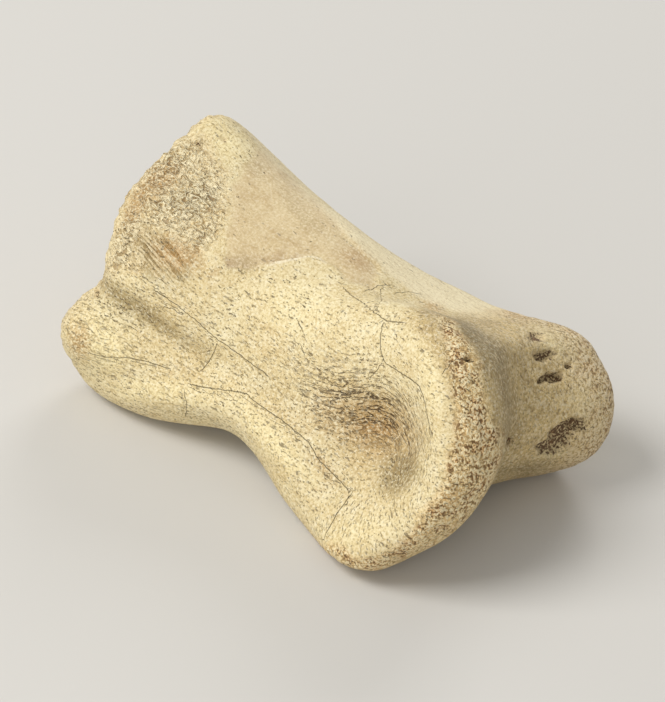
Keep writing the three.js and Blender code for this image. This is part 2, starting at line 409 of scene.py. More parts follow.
# %% Outlines of the large condyle's rim, the scar, the flaked patch and the pale strip, in pixels
RIM_BAND = ((429, 300), (441, 322), (447, 345), (450, 372), (455, 400), (456, 420), (452, 445), (446, 475),
            (438, 495), (421, 515), (403, 540), (380, 556), (352, 556), (328, 545), (318, 550), (345, 568),
            (377, 576), (424, 566), (456, 543), (480, 512), (497, 478), (503, 449), (502, 432), (489, 414),
            (482, 391), (478, 360), (462, 335), (452, 310))
SCAR = ((92, 280), (125, 276), (150, 276), (172, 270), (196, 256), (220, 242), (229, 208), (227, 176),
        (214, 146), (196, 128), (170, 135), (140, 170), (118, 215), (100, 265))
PATCH = ((230, 196), (226, 248), (228, 266), (246, 270), (269, 266), (275, 261), (296, 258), (319, 257),
         (333, 263), (342, 277), (361, 284), (374, 288), (381, 270), (352, 240), (322, 207), (292, 174),
         (268, 152), (256, 150), (240, 168))
STRIP = ((236, 116), (252, 136), (264, 152), (290, 181), (318, 208), (350, 238), (386, 270), (423, 298),
         (451, 308), (469, 317), (486, 323), (506, 323), (512, 300), (470, 282), (400, 238), (330, 178),
         (260, 110))


def inside_outline(points, outline):
    """Distance in pixels to a closed outline, above zero inside: edge crossings tell the side."""
    ring = np.array(outline, float)
    nearest = np.full(len(points), 1e9)
    within = np.zeros(len(points), bool)
    for start, end in zip(ring, np.roll(ring, -1, 0)):
        edge, way = end - start, points - start
        t = np.clip((way @ edge) / (edge @ edge), 0.0, 1.0)
        nearest = np.minimum(nearest, np.hypot(*(way - t[:, None] * edge).T))
        spans = (start[1] > points[:, 1]) != (end[1] > points[:, 1])
        cross = start[0] + edge[0] * (points[:, 1] - start[1]) / (edge[1] if edge[1] else 1e-9)
        within ^= spans & (points[:, 0] < cross)
    return np.where(within, nearest, -nearest)


wobble = np.stack((unrest, soft_noise(bone, 1.5, 8)), -1)
in_rim = ease(inside_outline(seen_pixel + 6.0 * wobble, RIM_BAND), -5.0, 5.0) * ease(side, 1.0, 3.0)
in_scar = ease(inside_outline(seen_pixel + 7.0 * wobble, SCAR), -6.0, 8.0) * ease(-x, 20.0, 24.0)
in_patch = inside_outline(seen_pixel + 4.0 * wobble, PATCH)
in_strip = ease(inside_outline(seen_pixel + 2.0 * wobble, STRIP), -3.0, 2.0)
print("corners in the rim's outline:", int((in_rim * facing > 0.5).sum()))

# %% Rims and joint faces, seen and unseen
hidden_rim = ease(near_depth, 3.4, 2.2) * ease(roller_depth + 0.6 * unrest, 2.8, 1.8) * distal
near_rim = facing * in_rim + (1.0 - facing) * hidden_rim
far_rim = ease(far_depth, 9.5, 3.0) * ease(roller_depth + 0.6 * unrest, 2.6, 1.2) * distal
rim = np.maximum(near_rim, 0.4 * far_rim)
joint = np.maximum(roller_face, base_face) * (1.0 - near_rim)
print("share under the rims:", rim.mean().round(3))

# %% The flaked patch, a painted highlight along its lower edge and the blush inside it
# pixel columns and rows between which each of them starts or fades
FLAKE_SLOPE, FLAKE_START = (0.25, 1.0), (300.0, 322.0)
HIGHLIGHT_LEFT, HIGHLIGHT_RIGHT, HIGHLIGHT_TOP = (258.0, 276.0), (316.0, 330.0), (244.0, 250.0)
BLUSH_RIGHT = (280.0, 320.0)
FLAKE_FADE, BLUSH_FADE = 25.0, 14.0
column, row = seen_pixel.T
within_patch = np.maximum(in_patch, 0.0)
on_shaft = facing * ease(-x, 6.0, 9.0)
patch = ease(in_patch, -5.0, 7.0) * on_shaft
flake = ease(in_patch, -0.5, 0.9) * np.exp(-within_patch / FLAKE_FADE) * on_shaft
flake *= ease(seen_pixel @ FLAKE_SLOPE, *FLAKE_START)
# painted highlight: a pale line just below the patch's lower edge, where the step catches the light
lip_highlight_from = np.clip(in_patch, -9.0, 9.0)
lip_highlight_here = facing * ease(column, *HIGHLIGHT_LEFT) * (1.0 - ease(column, *HIGHLIGHT_RIGHT)) * ease(row, *HIGHLIGHT_TOP)
blush = flake * np.exp(-within_patch / BLUSH_FADE) * (1.0 - ease(column, *BLUSH_RIGHT))
print("share under the patch:", patch.mean().round(3))

# %% The scar and the pale strip, seen and unseen
SCAR_WIDTH, SCAR_SWELL = 3.2, 1.6
band = SCAR_WIDTH + SCAR_SWELL * swell
hidden_scar = (1.0 - ease(base_below, 0.4 * band, band)) * (1.0 - base_face) * (1.0 - 0.6 * on_near)
scar = np.maximum(hidden_scar, in_scar * facing) * (1.0 - patch)
hidden_strip = 0.7 * ease(z - 0.2 * side, 7.5, 12.0) * (1.0 - facing)
strip = np.maximum(in_strip * facing, hidden_strip)
print("share under the scar and the strip:", scar.mean().round(3), strip.mean().round(3))


# %% [markdown]
# ## Breaks and stains
# Pieces of the small condyle's skin are broken out, and iron and clay have stained the bone in places.
# Other ovals are painted light on raised places and painted shade in hollows and under the small condyle.
# Each is an oval named by its pixel and made ragged by noise.

# %% Broken pits
OVAL_REACH = 1.8


def oval(centre, long, high, degrees):
    """How far out each corner is in an oval round a pixel: 0 in the middle, 1 on the oval, 9 unseen.

    Where the skin falls away from the eye, an oval drawn in the picture would be stretched. So the
    distance on the bone, over a reach a little more than the oval's, counts too and rounds its ends.
    """
    angle = math.radians(degrees)
    dx, dy = (seen_pixel - centre).T
    u = (dx * math.cos(angle) + dy * math.sin(angle)) / long
    v = (dy * math.cos(angle) - dx * math.sin(angle)) / high
    reach = OVAL_REACH * max(long, high) / PIXELS_PER_MM
    off = np.linalg.norm(bone - on_bone([centre])[0], axis=1) / reach
    return np.where(facing > 0.0, (np.hypot(u, v) ** 4 + off ** 4) ** 0.25, 9.0)


# centre pixel, half length and half height in pixels, turn in degrees, depth in mm
BREAKS = (((541, 381), 7, 4, -25, 0.6), ((555, 377), 9, 6, -15, 0.8), ((574, 426), 13, 8, -8, 0.8),
          ((562, 437), 17, 10, -38, 0.75), ((549, 448), 16, 8, -20, 0.65), ((508, 442), 6, 4, 10, 0.7),
          ((569, 366), 4, 3, 0, 0.55), ((545, 355), 13, 6, -10, 0.5), ((537, 337), 9, 5, 15, 0.4),
          ((470, 358), 5, 3, 10, 0.7), ((96, 292), 2.5, 5, 15, 0.5), ((199, 142), 4, 2, 50, 0.4),
          ((224, 139), 3, 1.5, 35, 0.25))
broken = np.zeros(len(bone))
in_break = np.full(len(bone), -1.0)
fine = soft_noise(bone, 0.6, 11)
for centre, long, high, degrees, depth in BREAKS:
    ragged = oval(centre, long, high, degrees) + 0.5 * unrest + 0.3 * fine
    broken = np.maximum(broken, depth * (1.0 - ease(ragged, 0.7, 1.15)))
    in_break = np.maximum(in_break, np.clip(1.0 - ragged, -1.0, 1.0) * min(1.0, 1.6 * depth))
print("deepest break:", broken.max().round(2), "mm")

# %% Stains of iron and clay, spongy places, painted light and shade, and dirt
# centre pixel, half length and half height in pixels, turn in degrees, strength
SPONGE = (((188, 202), 52, 38, -25, 1.0), ((168, 163), 42, 24, -35, 0.8), ((126, 238), 14, 40, 22, 0.9),
          ((203, 234), 30, 16, -20, 0.7))
# mostly painted light on raised places that face the light: the lower ridge, the heel, the tip and the top of
# the small condyle; the scar's cream and the two small pale crumbs by the breaks are the bone's own colour
PALE_AND_LIT = (((224, 140), 34, 24, 40, 0.9), ((160, 392), 70, 16, 6, 0.7), ((270, 437), 75, 14, 48, 0.8),
        ((97, 345), 38, 46, -20, 1.0), ((355, 532), 45, 18, -20, 0.5), ((432, 385), 14, 50, -5, 0.5),
        ((290, 305), 60, 34, 20, 0.4), ((212, 232), 14, 34, 25, 0.5), ((560, 340), 50, 26, 38, 0.7),
        ((592, 400), 22, 44, -5, 0.7), ((182, 152), 44, 28, -35, 0.7), ((550, 454), 22, 5, -10, 1.0),
        ((505, 450), 9, 4, -5, 1.0))
IRON = (((372, 428), 42, 13, 8, 0.9), ((362, 420), 80, 38, 14, 0.55), ((324, 467), 26, 9, 50, 0.5),
        ((434, 307), 18, 8, 20, 0.75), ((358, 258), 24, 15, 38, 0.55), ((80, 344), 16, 26, -10, 0.9),
        ((163, 178), 26, 18, -30, 0.75), ((135, 205), 12, 40, 25, 0.6), ((178, 257), 36, 20, 28, 0.8),
        ((516, 314), 18, 6, 12, 0.6), ((213, 273), 11, 5, -20, 0.5), ((445, 503), 24, 14, -60, 0.55),
        ((410, 540), 30, 9, -32, 0.45), ((460, 360), 8, 40, -8, 0.35), ((462, 440), 10, 40, 4, 0.4))
# real clay stains in the pit, the scar and the patch; the ovals along the valley, across the middle of the
# shaft, under the dorsal ridge and under the small condyle are painted shade
CLAY_AND_SHADE = (((400, 474), 28, 22, -30, 1.0), ((242, 264), 18, 12, 20, 0.5), ((200, 196), 20, 18, 0, 0.5),
        ((154, 254), 36, 17, 35, 0.9), ((140, 305), 60, 10, 38, 0.5), ((205, 350), 40, 12, 30, 0.3),
        ((270, 385), 60, 16, 32, 0.3), ((256, 166), 20, 11, 35, 0.4), ((300, 210), 60, 11, 46, 0.35),
        ((525, 469), 48, 11, -4, 1.0))
# painted shade at the top of the groove, below the end of the dorsal strip
GROOVE_TOP_SHADE = (((471, 340), 17, 56, -29, 1.0),)
# the last oval is painted shade at the top of the groove; the others darken the scar and the pit's lower edge
# as stains
DIRT_AND_SHADE = (((155, 254), 48, 26, 35, 1.0), ((398, 472), 30, 22, -30, 0.7), ((122, 240), 8, 24, 15, 0.6),
        ((471, 338), 13, 48, -30, 0.9))


def stains(spots):
    """The strongest of several soft ovals at each corner, their edges loosened by noise."""
    total = np.zeros(len(bone))
    for centre, long, high, degrees, strength in spots:
        soft = 1.0 - ease(oval(centre, long, high, degrees) + 0.3 * unrest, 0.1, 1.25)
        total = np.maximum(total, strength * soft)
    return total


iron, clay_and_shade, pale_and_lit, sponge = stains(IRON), stains(CLAY_AND_SHADE), stains(PALE_AND_LIT), stains(SPONGE)
groove_shade = np.maximum(groove_shade, stains(GROOVE_TOP_SHADE))
sponge = np.maximum(0.55 * scar + 0.6 * sponge, 0.7 * hidden_scar)
print("share under iron and clay:", (iron > 0.2).mean().round(3), (clay_and_shade > 0.2).mean().round(3))


# %% [markdown]
# ## Hairline cracks
# A dried and buried bone cracks along its fibres. Each crack is a chain of pixels carried onto the bone.
# What is stored is not the line but the signed distance to it, because that passes smoothly through
# zero and so draws a line far finer than the net.

# %% Crack chains and their distances
# half width in mm, then the pixels that the crack passes through
CRACKS = ((0.085, ((157, 292), (179, 306), (198, 322), (216, 338), (230, 347), (248, 361), (268, 375))),
          (0.06, ((217, 346), (211, 358), (202, 370))),
          (0.05, ((164, 307), (173, 309), (182, 314))),
          (0.05, ((91, 353), (105, 357), (130, 358), (150, 362), (168, 369))),
          (0.06, ((193, 385), (216, 389), (245, 393), (264, 408), (284, 422), (309, 442), (320, 461),
                  (349, 490))),
          (0.05, ((185, 394), (187, 404), (186, 414))),
          (0.08, ((350, 495), (338, 512), (328, 530), (322, 547))),
          (0.08, ((345, 290), (360, 301), (376, 314), (387, 321), (402, 323))),
          (0.05, ((381, 289), (382, 300), (377, 311))),
          (0.05, ((366, 291), (378, 286), (392, 285))),
          (0.075, ((384, 323), (380, 337), (381, 352), (385, 362), (402, 374), (419, 386), (425, 402),
                   (430, 432))),
          (0.05, ((383, 362), (378, 369), (372, 376))),
          (0.08, ((445, 372), (449, 364), (455, 359), (463, 358), (470, 359))),
          (0.06, ((397, 293), (410, 292), (421, 294))),
          (0.09, ((299, 323), (303, 330))),
          (0.07, ((302, 347), (304, 353))))


def crack_distance(chain):
    """Distance to the nearest piece of a chain of points, plain and signed by the side it is on."""
    nearest = np.full(len(bone), 1e9)
    signed = np.full(len(bone), 1e9)
    for start, end in zip(chain[:-1], chain[1:]):
        edge, way = end - start, bone - start
        t = np.clip((way @ edge) / (edge @ edge), 0.0, 1.0)
        gap = way - t[:, None] * edge
        distance = np.linalg.norm(gap, axis=1)
        turned = np.sign((np.cross(edge, gap) * outward).sum(1))
        closer = distance < nearest
        nearest = np.where(closer, distance, nearest)
        signed = np.where(closer, distance * turned, signed)
    return nearest, signed


crack = np.full(len(bone), 9.0)
crack_near = np.zeros(len(bone))
for width, pixels in CRACKS:
    distance, signed = crack_distance(on_bone(pixels))
    crack = np.where(distance / width < np.abs(crack), signed / width, crack)
    crack_near = np.maximum(crack_near, 1.0 - ease(distance, 0.3, 0.7))
crack = np.clip(crack, -9.0, 9.0)
print("corners beside a crack:", int((crack_near > 0.5).sum()))

# %% [markdown]
# ## Relief
# The masks now move the skin along its outward direction. Wear only takes bone away, so the skin stays
# inside the solid's box, and what is under the floor is flattened to it.

# %% Move the skin
STRIAE = ((140, 238), (166, 267))
COMBED = ((160, 256), 46, 25, 36)
comb = np.diff(on_bone(STRIAE), axis=0)[0]
comb /= np.linalg.norm(comb)
comb_place = bone - 0.9 * (bone @ comb)[:, None] * comb
striae = soft_noise(comb_place, 0.6, 6)
combed = 1.0 - ease(oval(*COMBED) + 0.25 * unrest, 0.2, 1.3)
sponge *= 1.0 - 0.7 * combed
margin = ease(base_below, 3.6, 1.2) * (1.0 - base_face)
worms = np.abs(soft_noise(bone * np.array((0.7, 1.0, 1.0)), 0.9, 9))
# heights in mm, each kept to its mask
relief = 0.09 * swell + 0.05 * unrest - 0.05
relief -= rim * (0.08 + 0.2 * grains ** 2 + 0.17 * unrest + 0.12 * fine)
relief -= scar * (0.05 + 0.08 * fine) + 0.18 * sponge * ease(worms, 0.05, 0.5)
relief -= combed * (0.06 + 0.12 * np.maximum(striae, -0.4))
relief -= margin * (0.05 + 0.13 * fine + 0.09 * unrest)
relief -= broken * (0.85 + 0.35 * fine)
relief -= 0.17 * flake
skin = np.clip(lie_down(bone + outward * relief[:, None]), box_low, box_high)
print("relief from", relief.min().round(2), "to", relief.max().round(2), "mm")


# %% [markdown]
# ## The way of the fibres
# Pores in bone are short slits that follow its fibres: along the shaft, round the pit of the large
# condyle, and out to its rim. The direction is stored at every corner, and the material lays each slit
# along it. Above the pit, where the ligament pulled, the skin lies in low wrinkles that arch over it, so
# a height that arches in the same way is stored for them.

# %% Fibre direction
from_pit = np.stack((x - PIT["x"], np.zeros_like(x), z - PIT["z"]), -1)
pit_reach = np.linalg.norm(from_pit, axis=1)
ray_out = from_pit / (pit_reach[:, None] + 1e-9)
round_pit = np.stack((ray_out[:, 2], np.zeros_like(x), -ray_out[:, 0]), -1)
above_pit = ease(ray_out @ (0.5, 0, 1), -0.2, 0.6)
circles = on_near * ease(pit_reach, 1.0, 3.0) * (1 - ease(pit_reach, 7.5, 10.5)) * above_pit
spokes = on_near * ease(ray_out @ (0.9, 0, -0.5), 0.0, 0.6) * ease(pit_reach, 3.0, 6.0) * (1.0 - circles)
grain = np.array((1.0, 0.0, -0.06)) * np.maximum(1.0 - circles - spokes, 0.05)[:, None]
grain = grain + circles[:, None] * round_pit + spokes[:, None] * ray_out
grain += 0.3 * np.stack([soft_noise(bone, 2.0, 20 + k) for k in range(3)], -1)
grain -= (grain * outward).sum(1, keepdims=True) * outward
grain /= np.linalg.norm(grain, axis=1, keepdims=True) + 1e-9
print("fibres along the shaft, mean:", np.abs(grain[:, 0]).mean().round(2))

# %% Wrinkles above the pit
WRINKLE = dict(rise=2.6, x=-3.0, long=4.5)
above_wrinkle = z - WRINKLE["rise"] * bump(x - WRINKLE["x"], WRINKLE["long"])
wrinkle_place = np.stack((x, above_wrinkle, 0.3 * side), -1)
print("wrinkles rise", WRINKLE["rise"], "mm over the pit")

# %% How many pores, where they are long, and the painted shade and dirt
pit_tone = bump(x - PIT["x"] + 0.8, 5.0) * bump(z - PIT["z"] - 0.8, 3.6) * on_near
pores_here = np.clip(0.6 * on_near + 0.3 * pit_tone + 0.4, 0.0, 1.0)
pores_here *= (1.0 - 0.9 * strip) * (1.0 - 0.85 * joint) * (1.0 - 0.85 * patch) * (1.0 - 0.5 * sponge)
pores_here *= 1.0 - 0.35 * ease(z, 1.0, 4.0) * on_near
slits_here = 1.2 * bump(x - PIT["x"] + 2.5, 7.0) * bump(z - PIT["z"] - 2.6, 3.2)
slits_here = on_near * np.minimum(slits_here, 1.0)
scratches = on_near * (1.0 - ease(x, -33.0, -22.0)) * bump(z + 4.0, 5.0)
# painted shade: the deeper the relief, the darker the colour, as shade in recesses
recess_shade = np.clip(-relief / 0.5, 0.0, 1.0) * (1.0 - patch)
# painted shade along the valley's upper bank, which faces down and away from the light, plus the ovals above
valley_bank = VALLEY["z"] + VALLEY["fall"] * (x - VALLEY["x"]) + 0.9
dirt_and_shade = bump(z - valley_bank, 1.1) * (1.0 - ease(x, -33.0, -22.0)) * on_near
dirt_and_shade = np.maximum(dirt_and_shade, stains(DIRT_AND_SHADE))
print("share with pores:", pores_here.mean().round(2))


# %% [markdown]
# ## Build the piece
# The arrays go into a mesh in a few calls. The masks ride along as vector attributes, three to a name,
# where the material can read them. The new piece stands for the solid, which stays behind for contact.

# %% Make the mesh
def build_mesh(name, points, faces):
    """A mesh from whole arrays of points in mm and quads, shaded smooth."""
    mesh = bpy.data.meshes.new(name)
    mesh.vertices.add(len(points))
    mesh.vertices.foreach_set("co", (points * MM).astype(np.float32).ravel())
    mesh.loops.add(faces.size)
    mesh.loops.foreach_set("vertex_index", faces.astype(np.int32).ravel())
    mesh.polygons.add(len(faces))
    mesh.polygons.foreach_set("loop_start", np.arange(0, faces.size, 4, dtype=np.int32))
    mesh.polygons.foreach_set("use_smooth", np.ones(len(faces), bool))
    mesh.update(calc_edges=True)
    mesh.validate()
    return mesh


def store(mesh, name, *columns):
    """Puts three numbers for each corner into a vector attribute."""
    data = mesh.attributes.new(name, "FLOAT_VECTOR", "POINT").data
    data.foreach_set("vector", np.stack(columns, -1).astype(np.float32).ravel())


MASKS = {"wear": dict(rim=rim, scar=scar, in_break=in_break),
         "tone": dict(patch=patch, pit=pit_tone, joint=joint),
         "stain": dict(iron=iron, clay_and_shade=clay_and_shade, pale_and_lit=pale_and_lit),
         "crack": dict(crack=crack, crack_near=crack_near, recess_shade=recess_shade),
         "pores": dict(pores=pores_here, slits=slits_here, scratches=scratches),
         "faces": dict(strip=strip, sponge=sponge, groove_shade=groove_shade),
         "marks": dict(far_rim=far_rim, dirt_and_shade=dirt_and_shade, combed=combed),
         "lip_highlight": dict(lip_highlight_from=lip_highlight_from, lip_highlight_here=lip_highlight_here, blush=blush)}
mesh = build_mesh("toe_bone_skin", skin, quads)
for name, columns in MASKS.items():
    store(mesh, name, *columns.values())
store(mesh, "grain", *(grain @ turn.T).T)
store(mesh, "wrinkle", *wrinkle_place.T)
store(mesh, "comb", *comb_place.T)
toe_bone = bpy.data.objects.new("toe_bone_skin", mesh)
bpy.context.scene.collection.objects.link(toe_bone)
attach(toe_bone, "root")
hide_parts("toe_bone")
print("skin:", len(mesh.vertices), "corners,", 2 * len(mesh.polygons), "triangles")


# %% [markdown]
# ## Fossil bone, weathered
# The material is mineral-filled bone, weathered out of rock. To the eye it is matte cream, tinted tan
# and brown where iron and clay have soaked in, with dark specks where pores hold dirt. Some tints are
# painted light and shade: paler on raised places that face the light, darker in hollows, on the valley's
# upper bank and in the groove. One helper adds nodes. Colours are written as sRGB and made linear by one
# function.

# %% Helpers for nodes and colours
def linear(hex_colour):
    """sRGB to linear light: each channel c becomes ((c + 0.055) / 1.055) to the power 2.4."""
    srgb = np.array([int(hex_colour[i:i + 2], 16) for i in (1, 3, 5)]) / 255.0
    light = np.where(srgb > 0.04045, ((srgb + 0.055) / 1.055) ** 2.4, srgb / 12.92)
    return (*light.tolist(), 1.0)


def add(tree, kind, inputs=None, **settings):
    """Adds one node, sets its properties, and gives each input a value or a link."""
    node = tree.nodes.new("ShaderNode" + kind)
    for name, value in settings.items():
        setattr(node, name, value)
    for key, value in (inputs or {}).items():
        if isinstance(value, bpy.types.NodeSocket):
            tree.links.new(value, node.inputs[key])
        else:
            node.inputs[key].default_value = value
    return node


fossil = bpy.data.materials.new("fossil_bone_weathered")
fossil.use_nodes = True
nodes = fossil.node_tree
nodes.nodes.clear()
output = add(nodes, "OutputMaterial")
CREAM = linear("#e2d2a4")
print("cream is", [round(c, 3) for c in CREAM])

# %% Read the masks and the place in millimetres
masks = {}
for name, columns in MASKS.items():
    read = add(nodes, "Attribute", attribute_name=name)
    split = add(nodes, "SeparateXYZ", {0: read.outputs["Vector"]})
    masks.update(zip(columns, split.outputs))
fibre = add(nodes, "Attribute", attribute_name="grain").outputs["Vector"]
place = add(nodes, "TexCoord").outputs["Object"]
place_mm = add(nodes, "VectorMath", {0: place, "Scale": 1.0 / MM}, operation="SCALE").outputs[0]
along_wrinkle = add(nodes, "Attribute", attribute_name="wrinkle").outputs["Vector"]
along_comb = add(nodes, "Attribute", attribute_name="comb").outputs["Vector"]
normal = add(nodes, "NewGeometry").outputs["Normal"]
print("masks:", ", ".join(masks))

# %% Noise textures by their size in millimetres
# name, place, size in mm, detail, stretch and twist
NOISES = (("drift", place_mm, 7.0, 3.0, (1, 1, 1), 0.0), ("mottle", place_mm, 1.6, 5.0, (1, 1, 1), 0.0),
          ("fleck", place_mm, 0.55, 2.0, (1, 1, 1), 0.0), ("grit", place_mm, 0.26, 3.0, (1, 1, 1), 0.0),
          ("streak", place_mm, 0.7, 4.0, (0.14, 1, 1), 0.0), ("hair", place_mm, 0.3, 2.0, (0.16, 1, 1), 0.4),
          ("worm", place_mm, 0.62, 2.0, (0.8, 1, 1), 1.0), ("crust", place_mm, 0.32, 3.0, (1, 1, 1), 0.6),
          ("wrinkle", along_wrinkle, 0.7, 2.0, (0.22, 1, 1), 0.3),
          ("comb", along_comb, 0.34, 2.0, (1, 1, 1), 0.2))
noises = {}
for name, source, size, detail, stretch, twist in NOISES:
    spot = add(nodes, "Mapping", {"Vector": source, "Scale": stretch}).outputs[0]
    noises[name] = add(nodes, "TexNoise", {"Vector": spot, "Scale": 1.0 / size, "Detail": detail,
                                           "Roughness": 0.6, "Distortion": twist}).outputs[0]
SWAY_SIZE, SWAY, NOISE_MIDDLE = 0.45, (0.5, 0.5, 0.5), (0.5, 0.5, 0.5)
sway = add(nodes, "TexNoise", {"Vector": place_mm, "Scale": 1.0 / SWAY_SIZE, "Detail": 2.0}).outputs["Color"]
sway = add(nodes, "VectorMath", {0: sway, 1: NOISE_MIDDLE}, operation="SUBTRACT").outputs[0]
swayed = add(nodes, "VectorMath", {0: sway, 1: SWAY, 2: place_mm}, operation="MULTIPLY_ADD").outputs[0]
print("noises:", ", ".join(noises))

# %% [markdown]
# ### Pores
# Each cell of a Voronoi pattern gives one pore at its middle. The way from the middle is laid flat on
# the surface and measured along and across the fibres, so a pore is a short slit and not a dot. Chance
# per cell sets its length and its depth, and a mask sets how many cells have one. The place is swayed a
# little by noise first, which bends the slits. Many real pores are finer, and these are drawn as coarse
# as they need to be to show.

# %% Pores in five sizes
# mask, spacing, half length, half width in mm, and the share of cells that hold a pore
PORES = (("pores", 0.66, 0.24, 0.065, 0.75), ("pores", 0.36, 0.10, 0.050, 0.35),
         ("pores", 1.50, 0.34, 0.095, 0.60), ("slits", 0.60, 0.42, 0.055, 0.80),
         ("scratches", 1.20, 1.10, 0.035, 0.70))
pore_drift = add(nodes, "MapRange", {0: noises["drift"], 1: 0.36, 2: 0.6, 3: 1.0, 4: 0.65}).outputs[0]
pore_total = 0.0
for mask, spacing, half_length, half_width, share in PORES:
    cells = add(nodes, "TexVoronoi", {"Vector": swayed, "Scale": 1.0 / spacing, "Randomness": 1.0})
    way = add(nodes, "VectorMath", {0: swayed, 1: cells.outputs["Position"]}, operation="SUBTRACT").outputs[0]
    lift = add(nodes, "VectorMath", {0: way, 1: normal}, operation="DOT_PRODUCT").outputs["Value"]
    lifted = add(nodes, "VectorMath", {0: normal, "Scale": lift}, operation="SCALE").outputs[0]
    flat = add(nodes, "VectorMath", {0: way, 1: lifted}, operation="SUBTRACT").outputs[0]
    run = add(nodes, "VectorMath", {0: flat, 1: fibre}, operation="DOT_PRODUCT").outputs["Value"]
    span = add(nodes, "VectorMath", {0: flat, 1: flat}, operation="DOT_PRODUCT").outputs["Value"]
    run2 = add(nodes, "Math", {0: run, 1: run}, operation="MULTIPLY").outputs[0]
    wide2 = add(nodes, "Math", {0: span, 1: run2}, operation="SUBTRACT").outputs[0]
    chance = add(nodes, "SeparateColor", {0: cells.outputs["Color"]})
    shortest, longest = 0.4 * half_length, 1.3 * half_length
    length = add(nodes, "MapRange", {0: chance.outputs[0], 3: shortest, 4: longest}).outputs[0]
    length2 = add(nodes, "Math", {0: length, 1: length}, operation="MULTIPLY").outputs[0]
    run_share = add(nodes, "Math", {0: run2, 1: length2}, operation="DIVIDE").outputs[0]
    wide_share = add(nodes, "Math", {0: wide2, 1: half_width ** 2}, operation="DIVIDE").outputs[0]
    size = add(nodes, "Math", {0: run_share, 1: wide_share}, operation="ADD").outputs[0]
    size = add(nodes, "Math", {0: noises["grit"], 1: 3.0, 2: size}, operation="MULTIPLY_ADD").outputs[0]
    slit = add(nodes, "MapRange", {0: size, 1: 2.9, 2: 1.6}, interpolation_type="SMOOTHSTEP").outputs[0]
    wanted = add(nodes, "Math", {0: masks[mask], 1: share}, operation="MULTIPLY").outputs[0]
    held = add(nodes, "Math", {0: chance.outputs[1], 1: wanted}, operation="LESS_THAN").outputs[0]
    depth = add(nodes, "MapRange", {0: chance.outputs[2], 3: 0.4, 4: 1.0}).outputs[0]
    depth = add(nodes, "Math", {0: depth, 1: pore_drift}, operation="MULTIPLY").outputs[0]
    deep = add(nodes, "Math", {0: held, 1: depth}, operation="MULTIPLY").outputs[0]
    pore = add(nodes, "Math", {0: slit, 1: deep}, operation="MULTIPLY").outputs[0]
    pore_total = add(nodes, "Math", {0: pore_total, 1: pore}, operation="MAXIMUM").outputs[0]
print("pore sizes:", len(PORES))

# %% [markdown]
# ### Cracks, crumbs and spongy bone
# The crack line is where the stored distance passes zero, swayed by noise and faded where no crack is
# near. Crumbs are the high places of a noise a third of a millimetre fine, with dirt in its low places.
# The scar is spongy: pale winding ridges, drawn where a twisted noise crosses its middle value, with
# hollows between. The ragged edge of a break is the stored depth inside it, roughened by the crumbs.

# %% Crack line
drawn = masks["crack"]
for noise, strength in (("mottle", 4.0), ("fleck", 3.0)):
    swung = {0: noises[noise], 1: strength, 2: drawn}
    drawn = add(nodes, "Math", swung, operation="MULTIPLY_ADD").outputs[0]
drawn = add(nodes, "Math", {0: drawn, 1: 3.5}, operation="SUBTRACT").outputs[0]
drawn = add(nodes, "Math", {0: drawn}, operation="ABSOLUTE").outputs[0]
ragged = add(nodes, "Math", {0: noises["grit"], 1: 1.6, 2: drawn}, operation="MULTIPLY_ADD").outputs[0]
line = add(nodes, "MapRange", {0: ragged, 1: 1.9, 2: 0.9}).outputs[0]
crack_line = add(nodes, "Math", {0: line, 1: masks["crack_near"]}, operation="MULTIPLY").outputs[0]
print("cracks drawn:", len(CRACKS))

# %% Spongy ridges and hollows, crumbs, and the edge of breaks
crust = noises["crust"]
ridge = add(nodes, "Math", {0: noises["worm"], 1: 0.5}, operation="SUBTRACT").outputs[0]
ridge = add(nodes, "Math", {0: ridge}, operation="ABSOLUTE").outputs[0]
sponge_ridge = add(nodes, "MapRange", {0: ridge, 1: 0.075, 2: 0.015}).outputs[0]
sponge_hole = add(nodes, "MapRange", {0: ridge, 1: 0.09, 2: 0.17}).outputs[0]
rough_in = masks["in_break"]
for noise, strength in (("crust", 1.8), ("fleck", 0.8)):
    uneven = {0: noises[noise], 1: strength, 2: rough_in}
    rough_in = add(nodes, "Math", uneven, operation="MULTIPLY_ADD").outputs[0]
masks["break"] = add(nodes, "MapRange", {0: rough_in, 1: 1.45, 2: 1.58}).outputs[0]
break_lip = add(nodes, "MapRange", {0: rough_in, 1: 1.1, 2: 1.3}).outputs[0]
print("breaks drawn:", len(BREAKS))

# %% [markdown]
# ### Colour in layers
# The colour starts as cream and is covered by one tint after another, as a painter of casts works: broad
# stains and painted light and shade first, then the brown of rims and painted shade in hollows, and last
# the dirt in pores, cracks and breaks. Each layer is one row of a list, and one loop lays them all.

# %% Patterns that the layers share
soak = add(nodes, "MapRange", {0: noises["grit"], 1: 0.3, 2: 0.62}).outputs[0]
iron_soak = add(nodes, "Math", {0: soak, 1: masks["iron"]}, operation="MULTIPLY").outputs[0]
clay_and_shade_soak = add(nodes, "Math", {0: soak, 1: masks["clay_and_shade"]}, operation="MULTIPLY").outputs[0]
lip_highlight = add(nodes, "Math", {0: masks["lip_highlight_from"], 1: 1.0}, operation="ADD").outputs[0]
lip_highlight = add(nodes, "Math", {0: lip_highlight}, operation="ABSOLUTE").outputs[0]
plain = add(nodes, "Math", {0: masks["patch"], 1: masks["strip"]}, operation="MAXIMUM").outputs[0]
masks["rough"] = add(nodes, "MapRange", {0: plain, 3: 1.0, 4: 0.6}).outputs[0]
crossing = add(nodes, "Math", {0: noises["wrinkle"], 1: 0.5}, operation="SUBTRACT").outputs[0]
crossing = add(nodes, "Math", {0: crossing}, operation="ABSOLUTE").outputs[0]
crossing = add(nodes, "MapRange", {0: crossing, 1: 0.045, 2: 0.02}).outputs[0]
